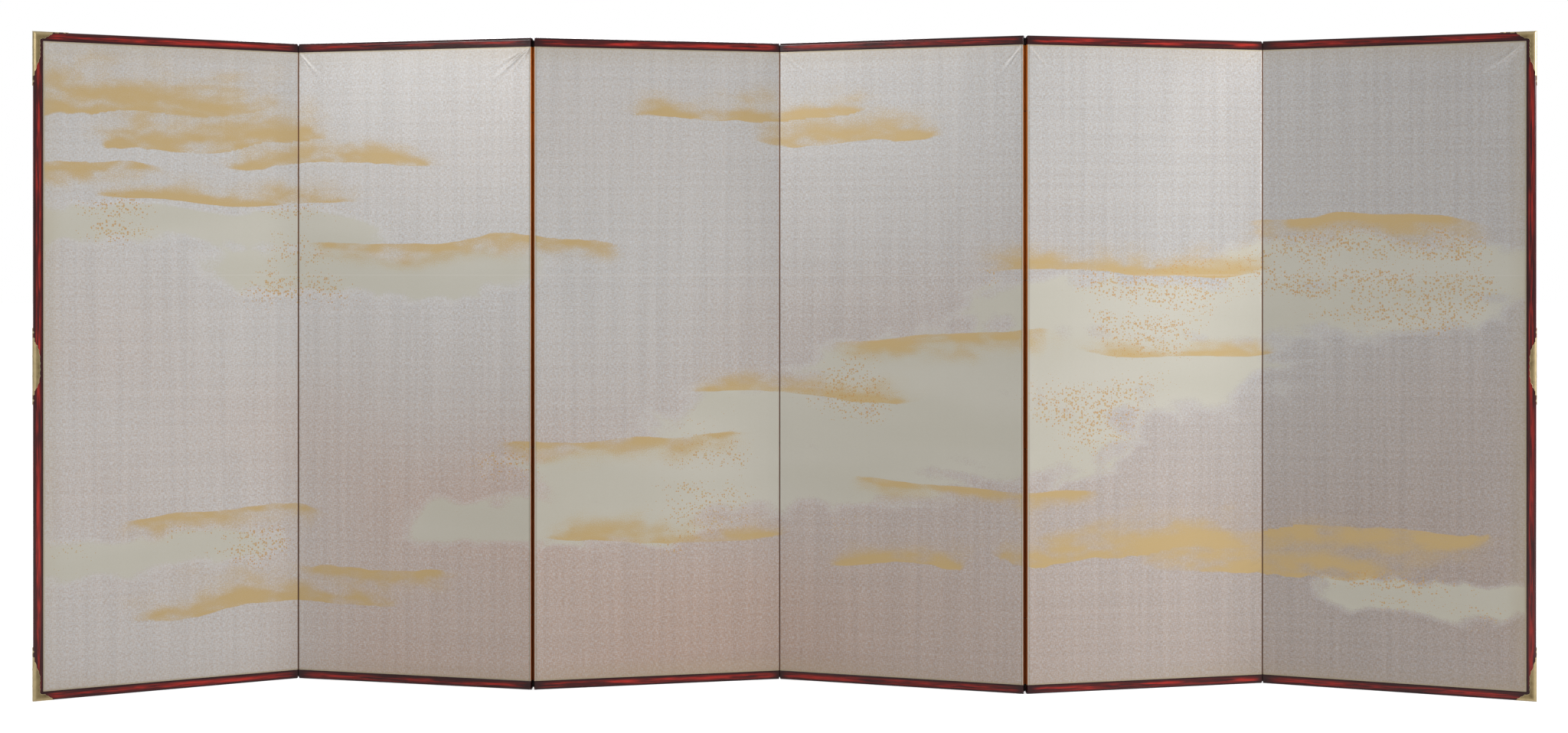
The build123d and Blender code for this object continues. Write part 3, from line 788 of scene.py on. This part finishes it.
def nearest_band(places, bands, softness):
    """How far each place is outside the nearest band, in shares of the band's thickness:
    below 0 inside. Neighbouring bands run together. Then how soft the edge is there: 0 on
    the band's thinner side, 1 on its thicker side."""
    nearest, soft = np.full(len(places), 6.0), np.ones(len(places))
    for middle, height, reach, rise, fall in bands:
        past = np.maximum(np.abs(places[:, 0] - middle) - reach, 0.0) / (1.35 * (rise + fall))
        up = places[:, 1] - height
        away = np.hypot(past, np.where(up > 0, up / rise, -up / fall)) - 1.0
        side = np.clip(0.5 + up / (rise + fall) * (2.0 if rise > fall else -2.0), 0.0, 1.0)
        soft = np.where(away < nearest, side, soft)
        join = np.maximum(softness - np.abs(nearest - away), 0.0) / softness
        nearest = np.minimum(nearest, away) - join**3 * softness / 6
    return nearest, soft


def design_fields(places):
    """The mist's and the gold's edges at each place on the screen, and how soft the gold's is."""
    noise.seed_set(DRIFT_SEED)
    adrift = wandered(wandered(places, 2.4, (0.10, 0.035), 3.1), 6.5, (0.030, 0.014), 8.7)
    lobes = np.array([abs(noise.noise(Vector((9.0 * u, 15.0 * v, 1.7)))) for u, v in adrift])
    small = np.array([abs(noise.noise(Vector((22.0 * u, 34.0 * v, 6.1)))) for u, v in adrift])
    mist, _ = nearest_band(adrift, MIST_BANDS, 0.9)
    gold, soft = nearest_band(adrift, GOLD_CLOUDS + GOLD_WISPS, 0.5)
    mist += 0.75 * (lobes - 0.2) + 0.12 * (small - 0.2)
    return mist, gold - 0.8 * (lobes - 0.2) * soft + 0.3 * (small - 0.2), soft


def paper_sheet(number, side, columns, rows, rises):
    """A papered face in its panel's own frame, as a thin closed sheet. rises(x, z) is how far
    it stands off the flat. side is -1 in front and 1 behind."""
    bm = bmesh.new()
    ridge = bm.verts.layers.float.new("ridge")
    bmesh.ops.create_grid(bm, x_segments=columns, y_segments=rows, size=0.5)
    left = HINGE_LINING * (number > 1)
    right = PANEL_WIDTH - HINGE_LINING * (number < len(HEADINGS))
    for vert in bm.verts:
        x = left + (right - left) * crowded(vert.co.x + 0.5)
        z = PAPER_HEIGHT * crowded(vert.co.y + 0.5)
        edge = min(x, PANEL_WIDTH - x, z, PAPER_HEIGHT - z)
        off = rises(x, z) * smooth(edge, 0.0, 0.006) - PAPER_SUNK
        vert[ridge] = off
        # beside a fold the outermost step is turned back a little over the core's edge
        if (left > 0.0 and x - left < 1e-5) or (right < PANEL_WIDTH and right - x < 1e-5):
            off -= TURNED_BACK
        vert.co = (x, side * (SHEET_FACE + off), PAPER_LOW + z)
    brink = [edge for edge in bm.edges if edge.is_boundary]
    for face in bm.faces:
        face.smooth = True
    for edge in brink:
        edge.smooth = False
    turned = bmesh.ops.extrude_edge_only(bm, edges=brink)["geom"]
    for vert in turned:
        if isinstance(vert, bmesh.types.BMVert):
            vert.co.y = side * (SHEET_FACE - 0.8 * SHEET_THICKNESS)
    rim = [edge for edge in turned if isinstance(edge, bmesh.types.BMEdge) and edge.is_boundary]
    bmesh.ops.edgeloop_fill(bm, edges=rim)
    turn_outwards(bm)
    mark_places(bm, number, left, right)
    bm.transform(PLACES[number])
    return bm


def mark_places(bm, number, left, right):
    """Writes on a sheet where each point is on the screen, and how far it is from a shut
    fold, an open fold and a stick."""
    place = bm.verts.layers.float_vector.new("screen_place")
    border = bm.verts.layers.float_vector.new("border")
    for vert in bm.verts:
        x, z = vert.co.x, vert.co.z - PAPER_LOW
        vert[place] = ((number - 1) * PANEL_WIDTH + x, z, 0.0)
        apart = {"shut": 1.0, "open": 1.0, "stick": min(z, PAPER_HEIGHT - z)}
        for fold, distance in ((number - 1, x - left), (number, right - x)):
            kind = "stick" if fold in (0, len(HEADINGS)) else "shut" if fold % 2 else "open"
            apart[kind] = min(apart[kind], distance)
        vert[border] = tuple(apart.values())


def mark_design(bm):
    """Writes the painted design's edges on a sheet."""
    place = bm.verts.layers.float_vector["screen_place"]
    design = bm.verts.layers.float_vector.new("design")
    fields = design_fields(np.array([vert[place][:2] for vert in bm.verts]))
    for vert, field in zip(bm.verts, np.stack(fields, axis=1)):
        vert[design] = field


class BYOBU_OT_stage(bpy.types.Operator):
    """Set up the camera, the lamps, the white surroundings and the floor"""

    bl_idname = "byobu.stage"
    bl_label = "Stage"
    bl_options = {"REGISTER", "UNDO"}

    def execute(self, context):
        scene, stage = context.scene, context.scene.byobu_stage
        lens = bpy.data.cameras.new("camera")
        lens.lens, lens.sensor_width = stage.lens, 36.0
        lens.shift_x, lens.shift_y = stage.shift_x, stage.shift_y
        lens.clip_end = 200.0
        camera = object_from("camera", lens)
        camera.location = (stage.camera_x, stage.camera_y, stage.camera_z)
        camera.rotation_euler = (math.pi / 2, 0.0, 0.0)
        scene.camera = camera
        scene.view_settings.view_transform = "Standard"
        for name, spot, size, colour in LAMPS:
            light = bpy.data.lights.new(f"{name}_lamp", "AREA")
            light.shape, light.size, light.size_y = "RECTANGLE", *size
            light.energy, light.color = getattr(stage, f"{name}_power"), colour
            lamp = object_from(light.name, light)
            lamp.location = spot
            lamp.rotation_euler = (Vector(AIM) - lamp.location).to_track_quat("-Z", "Y").to_euler()
        self.surroundings(scene, stage.ambient)
        self.floor()
        return {"FINISHED"}

    def surroundings(self, scene, ambient):
        """White to the eye and in reflections, a plain soft light for everything else."""
        scene.world = bpy.data.worlds.new("surroundings")
        w = empty_wiring(scene.world)
        soft = w.node("Background", (0.96, 0.98, 1.0), ambient)
        white = w.node("Background", (1.0, 1.0, 1.0), 1.0)
        both = w.node("MixShader", self.seen(w), soft.outputs[0], white.outputs[0])
        w.node("OutputWorld", both.outputs[0])

    def seen(self, w):
        """1 for the camera and for rays in gloss and glass."""
        ray = w.node("LightPath").outputs
        gloss = w.math("MAXIMUM", ray["Is Glossy Ray"], ray["Is Transmission Ray"])
        return w.math("MAXIMUM", ray["Is Camera Ray"], gloss)

    def floor(self):
        """A wide floor, lit near the screen and as white as the surroundings further off."""
        bm = bmesh.new()
        bmesh.ops.create_circle(bm, cap_ends=True, segments=64, radius=60.0)
        mesh = bpy.data.meshes.new("floor")
        bm.to_mesh(mesh)
        bm.free()
        made = bpy.data.materials.new("white_floor")
        made.cycles.emission_sampling = "NONE"
        w = empty_wiring(made)
        x, y, _ = w.split(w.place())
        past_end = w.math("MAXIMUM", w.less(w.math("ABSOLUTE", x), 1.9), 0.0)
        away = w.length(past_end, y)
        glow = w.times(self.seen(w), w.ramp(away, 0.15, 1.1, 0.62, 1.0))
        matt = w.node("BsdfDiffuse", (0.86, 0.86, 0.86))
        light = w.node("Emission", (1.0, 1.0, 1.0), glow)
        both = w.node("AddShader", matt.outputs[0], light.outputs[0])
        w.node("OutputMaterial", both.outputs[0])
        mesh.materials.append(made)
        object_from("floor", mesh)


class BYOBU_OT_lacquer(bpy.types.Operator):
    """Coat the rails and the side posts in dark red lacquer"""

    bl_idname = "byobu.lacquer"
    bl_label = "Lacquered rails and posts"
    bl_options = {"REGISTER", "UNDO"}

    def execute(self, context):
        for number in PANELS:
            made = lacquer_finish(number, upright=False)
            for where in ("top", "bottom"):
                coat(f"panel_{number}_{where}_rail", made)
        for end, number in ENDS.items():
            coat(f"{end}_side_post", lacquer_finish(number, upright=True))
        return {"FINISHED"}


class BYOBU_OT_core(bpy.types.Operator):
    """Finish the cedar core, its pegs and the hinge linings"""

    bl_idname = "byobu.core"
    bl_label = "Core, pegs and hinge linings"
    bl_options = {"REGISTER", "UNDO"}

    def execute(self, context):
        wood, papers = context.scene.byobu_frame, context.scene.byobu_papers
        cedar = wood_finish("core_cedar", wood.cedar, (0.40, 0.22, 0.105), 140.0)
        bamboo = wood_finish("peg_bamboo", wood.bamboo, (0.46, 0.31, 0.13), 900.0)
        lining = hinge_finish(TONED_PAPER, papers.hinge_light, papers.hinge_deep)
        for number in PANELS:
            coat(f"panel_{number}_core_frame", cedar)
            coat(f"panel_{number}_core_lattice", cedar)
            coat(f"panel_{number}_frame_pegs", bamboo)
            coat(f"panel_{number}_hinge_papers", lining)
        return {"FINISHED"}


class BYOBU_OT_front_papers(bpy.types.Operator):
    """Stretch the painted silk over the front of each panel"""

    bl_idname = "byobu.front_papers"
    bl_label = "Painted papers"
    bl_options = {"REGISTER", "UNDO"}

    def execute(self, context):
        papers = context.scene.byobu_papers
        made = painted_paper()
        for number in PANELS:

            def rises(x, z, number=number):
                wander = noise.noise(Vector((2.3 * (x + 0.7 * number), 9.1 * number, 2.3 * z)))
                wander += 0.5 * noise.noise(Vector((9.0 * x, 5.3 * number, 7.0 * z)))
                folds = tension(x, z, CORNER_FOLDS[number], papers.fold_height)
                return papers.slackness * wander + folds + ripples(number, x, z, papers.fold_height)

            bm = paper_sheet(number, -1, papers.columns, papers.rows, rises)
            mark_design(bm)
            piece = piece_from(bm, f"panel_{number}_front_paper", made)
            stretch_on(piece, number, "front")
        return {"FINISHED"}


class BYOBU_OT_back_papers(bpy.types.Operator):
    """Lay the printed backing paper over the back of each panel"""

    bl_idname = "byobu.back_papers"
    bl_label = "Backing papers"
    bl_options = {"REGISTER", "UNDO"}

    def execute(self, context):
        papers = context.scene.byobu_papers
        made = backing_paper()
        for number in PANELS:

            def rises(x, z, number=number):
                return papers.slackness * noise.noise(Vector((3.1 * x, 4.7 * number, 2.9 * z)))

            bm = paper_sheet(number, 1, papers.columns // 3, papers.rows // 3, rises)
            piece = piece_from(bm, f"panel_{number}_back_paper", made)
            stretch_on(piece, number, "back")
        return {"FINISHED"}


def stretch_on(piece, number, face):
    """Attaches a paper to its panel, in place of its CAD solid, which it hides."""
    body = f"panel_{number}"
    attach(piece, body)
    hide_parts(f"{body}_{face}_sheet")


class BYOBU_OT_hinge_webs(bpy.types.Operator):
    """Carry the hinge paper across each fold, in one length"""

    bl_idname = "byobu.hinge_webs"
    bl_label = "Hinge papers across the folds"
    bl_options = {"REGISTER", "UNDO"}

    def execute(self, context):
        open_paper = bpy.data.materials[TONED_PAPER]
        # the paper across a shut fold is dark umber, a painted shade of the narrow valley at the
        # front
        shut_fold_shade_paper = hinge_finish("shut_fold_paper", (0.120, 0.095, 0.072), (0.090, 0.066, 0.048))
        for fold in PANELS[:-1]:
            side, made = (-1, shut_fold_shade_paper) if fold % 2 else (1, open_paper)
            bm = self.web(fold, side)
            turn_outwards(bm)
            bmesh.ops.solidify(bm, geom=bm.faces[:], thickness=WEB_THICKNESS)
            turn_outwards(bm)
            piece = piece_from(bm, f"fold_{fold}_hinge_web", made)
            start, end = self.walls(fold, side, WEB_DEEP[0], 0.5)
            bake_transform(piece)
            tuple(start)
            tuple(end)
        return {"FINISHED"}

    def walls(self, fold, side, deep, up):
        """Points on the two walls of a fold, deep metres in from the paper's face."""
        y = side * (SHEET_FACE - deep)
        left = PLACES[fold] @ Vector((PANEL_WIDTH + WEB_OFF_WALL, y, up))
        right = PLACES[fold + 1] @ Vector((-WEB_OFF_WALL, y, up))
        return left, right

    def web(self, fold, side):
        """Paper up a fold: down the first wall, across the fold and back up the other wall."""
        facing = Vector((0.0, side, 0.0))
        outward = sum((PLACES[n].to_3x3() @ facing for n in (fold, fold + 1)), Vector())
        bulge = outward.normalized() * WEB_BULGE
        bm = bmesh.new()
        bmesh.ops.create_grid(bm, x_segments=10, y_segments=72, size=0.5)
        for vert in bm.verts:
            across = vert.co.x + 0.5
            up = WEB_TAB + (SCREEN_HEIGHT - 2 * WEB_TAB) * (vert.co.y + 0.5)
            turned = min(1.0, max(0.0, (across - 0.3) / 0.4))
            climb = max(0.0, abs(across - 0.5) - 0.2) / 0.3
            deep = WEB_DEEP[0] + (WEB_DEEP[1] - WEB_DEEP[0]) * climb
            left, right = self.walls(fold, side, deep, up)
            vert.co = left.lerp(right, turned) + bulge * math.sin(math.pi * turned)
        return bm


class BYOBU_OT_brass(bpy.types.Operator):
    """Finish the brass fittings and their nails, and bead the fittings' edges"""

    bl_idname = "byobu.brass"
    bl_label = "Brass fittings, rims and nails"
    bl_options = {"REGISTER", "UNDO"}

    def execute(self, context):
        metal = context.scene.byobu_frame
        brass, tarnish = metal.brass, metal.tarnish
        heads = brass_finish("nail_brass", brass, tarnish, 0.30)
        # the beads' lighter brass is partly a painted highlight along the fittings' edges
        rims = brass_finish("rim_brass", metal.rim_brass, brass, 0.5, roughness_gain=0.06)
        for end, number in ENDS.items():
            plate = brass_finish(f"fitting_brass_{end}", brass, tarnish, 0.9, number=number)
            coat(f"{end}_fitting_nails", heads)
            for fitting in FITTINGS:
                node = f"{end}_{fitting}"
                coat(node, plate)
                self.bead(node, number, metal.rim_radius, rims)
        return {"FINISHED"}

    def bead(self, node, number, radius, made):
        """A thin bead all round the outer edges of a fitting."""
        curve = bpy.data.curves.new(f"{node}_rim_line", "CURVE")
        curve.dimensions = "3D"
        curve.bevel_depth, curve.bevel_resolution = radius, 1
        curve.use_fill_caps = True
        for points, closed in edge_lines(node, number):
            spline = curve.splines.new("POLY")
            spline.points.add(len(points) - 1)
            for point, place in zip(spline.points, points):
                point.co = (*place, 1.0)
            spline.use_cyclic_u = closed
        maker = object_from(f"{node}_rim_line", curve)
        bpy.context.view_layer.update()
        graph = bpy.context.evaluated_depsgraph_get()
        bm = bmesh.new()
        bm.from_mesh(maker.evaluated_get(graph).to_mesh())
        bpy.data.objects.remove(maker)
        bmesh.ops.remove_doubles(bm, verts=bm.verts[:], dist=1e-6)
        turn_outwards(bm)
        for face in bm.faces:
            face.smooth = True
        piece = piece_from(bm, f"{node}_rim", made)
        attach(piece, f"panel_{number}")


def stick_outward(place, number):
    """Which way is out of the lacquered stick under a place, in the panel's frame."""
    x, y, z = place
    first = number == 1
    in_x = x + FRAME_FACE if first else PANEL_WIDTH + FRAME_FACE - x
    in_z = min(z, SCREEN_HEIGHT - z)
    core_y = HALF_DEPTH - OUTER_ROUND
    gap_y = y - max(-core_y, min(core_y, y))
    low, high = OUTER_ROUND, FRAME_FACE - INNER_ROUND
    if in_x < in_z:  # on the post
        gap = in_x - max(low, min(high, in_x))
        return Vector((gap if first else -gap, gap_y, 0.0)).normalized()
    gap = in_z - max(low, min(high, in_z))
    return Vector((0.0, gap_y, gap if z < SCREEN_HEIGHT / 2 else -gap)).normalized()


def edge_lines(node, number):
    """The outer edges of a fitting, as lines of points in the frame of the model."""
    bm = bmesh.new()
    bm.from_mesh(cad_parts[node].data)
    bmesh.ops.remove_doubles(bm, verts=bm.verts[:], dist=2e-6)
    bm.transform(PLACES[number].inverted())
    bm.normal_update()
    links = {}
    for edge in bm.edges:
        if len(edge.link_faces) != 2:
            continue
        middle = (edge.verts[0].co + edge.verts[1].co) / 2
        out = stick_outward(middle, number)
        # an outer edge lies between a face that looks out of the stick and one to the side
        facing = sorted(face.normal.dot(out) for face in edge.link_faces)
        if facing[1] > 0.75 and abs(facing[0]) < 0.5:
            for one, other in (edge.verts, reversed(edge.verts)):
                links.setdefault(one.index, []).append(other.index)
    bm.verts.ensure_lookup_table()
    lines, left = [], {index: list(ends) for index, ends in links.items()}
    while left:
        # an open line starts at one of its ends
        start = next((i for i, ends in left.items() if len(ends) == 1), next(iter(left)))
        walk, at = [start], start
        while left.get(at):
            onward = left[at].pop(0)
            left[onward].remove(at)
            walk.append(onward)
            at = onward
        left = {i: ends for i, ends in left.items() if ends}
        closed = walk[0] == walk[-1]
        if closed:
            walk.pop()
        points = [PLACES[number] @ bm.verts[i].co for i in walk]
        length = sum((b - a).length for a, b in zip(points, points[1:]))
        if length > SHORTEST_RIM:
            lines.append((points, closed))
    bm.free()
    return lines


class BYOBU_PT_panel(bpy.types.Panel):
    """Everything that dresses the screen"""

    bl_idname = "BYOBU_PT_panel"
    bl_label = "Byobu"
    bl_space_type = "VIEW_3D"
    bl_region_type = "UI"
    bl_category = "Byobu"

    def draw(self, context):
        for name in GROUPS:
            box = self.layout.box()
            box.label(text=name.split("_")[1].title())
            settings = getattr(context.scene, name)
            for key in settings.__annotations__:
                box.prop(settings, key)
        for operator in MAKERS:
            self.layout.operator(operator.bl_idname)


GROUPS = {"byobu_stage": ByobuStage, "byobu_frame": ByobuFrame, "byobu_papers": ByobuPapers}
MAKERS = (
    BYOBU_OT_stage,
    BYOBU_OT_lacquer,
    BYOBU_OT_core,
    BYOBU_OT_front_papers,
    BYOBU_OT_back_papers,
    BYOBU_OT_hinge_webs,
    BYOBU_OT_brass,
)


def register():
    for name, group in GROUPS.items():
        bpy.utils.register_class(group)
        setattr(bpy.types.Scene, name, PointerProperty(type=group))
    for operator in MAKERS:
        bpy.utils.register_class(operator)
    bpy.utils.register_class(BYOBU_PT_panel)


def unregister():
    bpy.utils.unregister_class(BYOBU_PT_panel)
    for operator in reversed(MAKERS):
        bpy.utils.unregister_class(operator)
    for name, group in GROUPS.items():
        delattr(bpy.types.Scene, name)
        bpy.utils.unregister_class(group)


def main():
    register()
    for operator in MAKERS:
        getattr(bpy.ops.byobu, operator.bl_idname.split(".")[1])()


if __name__ == "__main__":
    main()
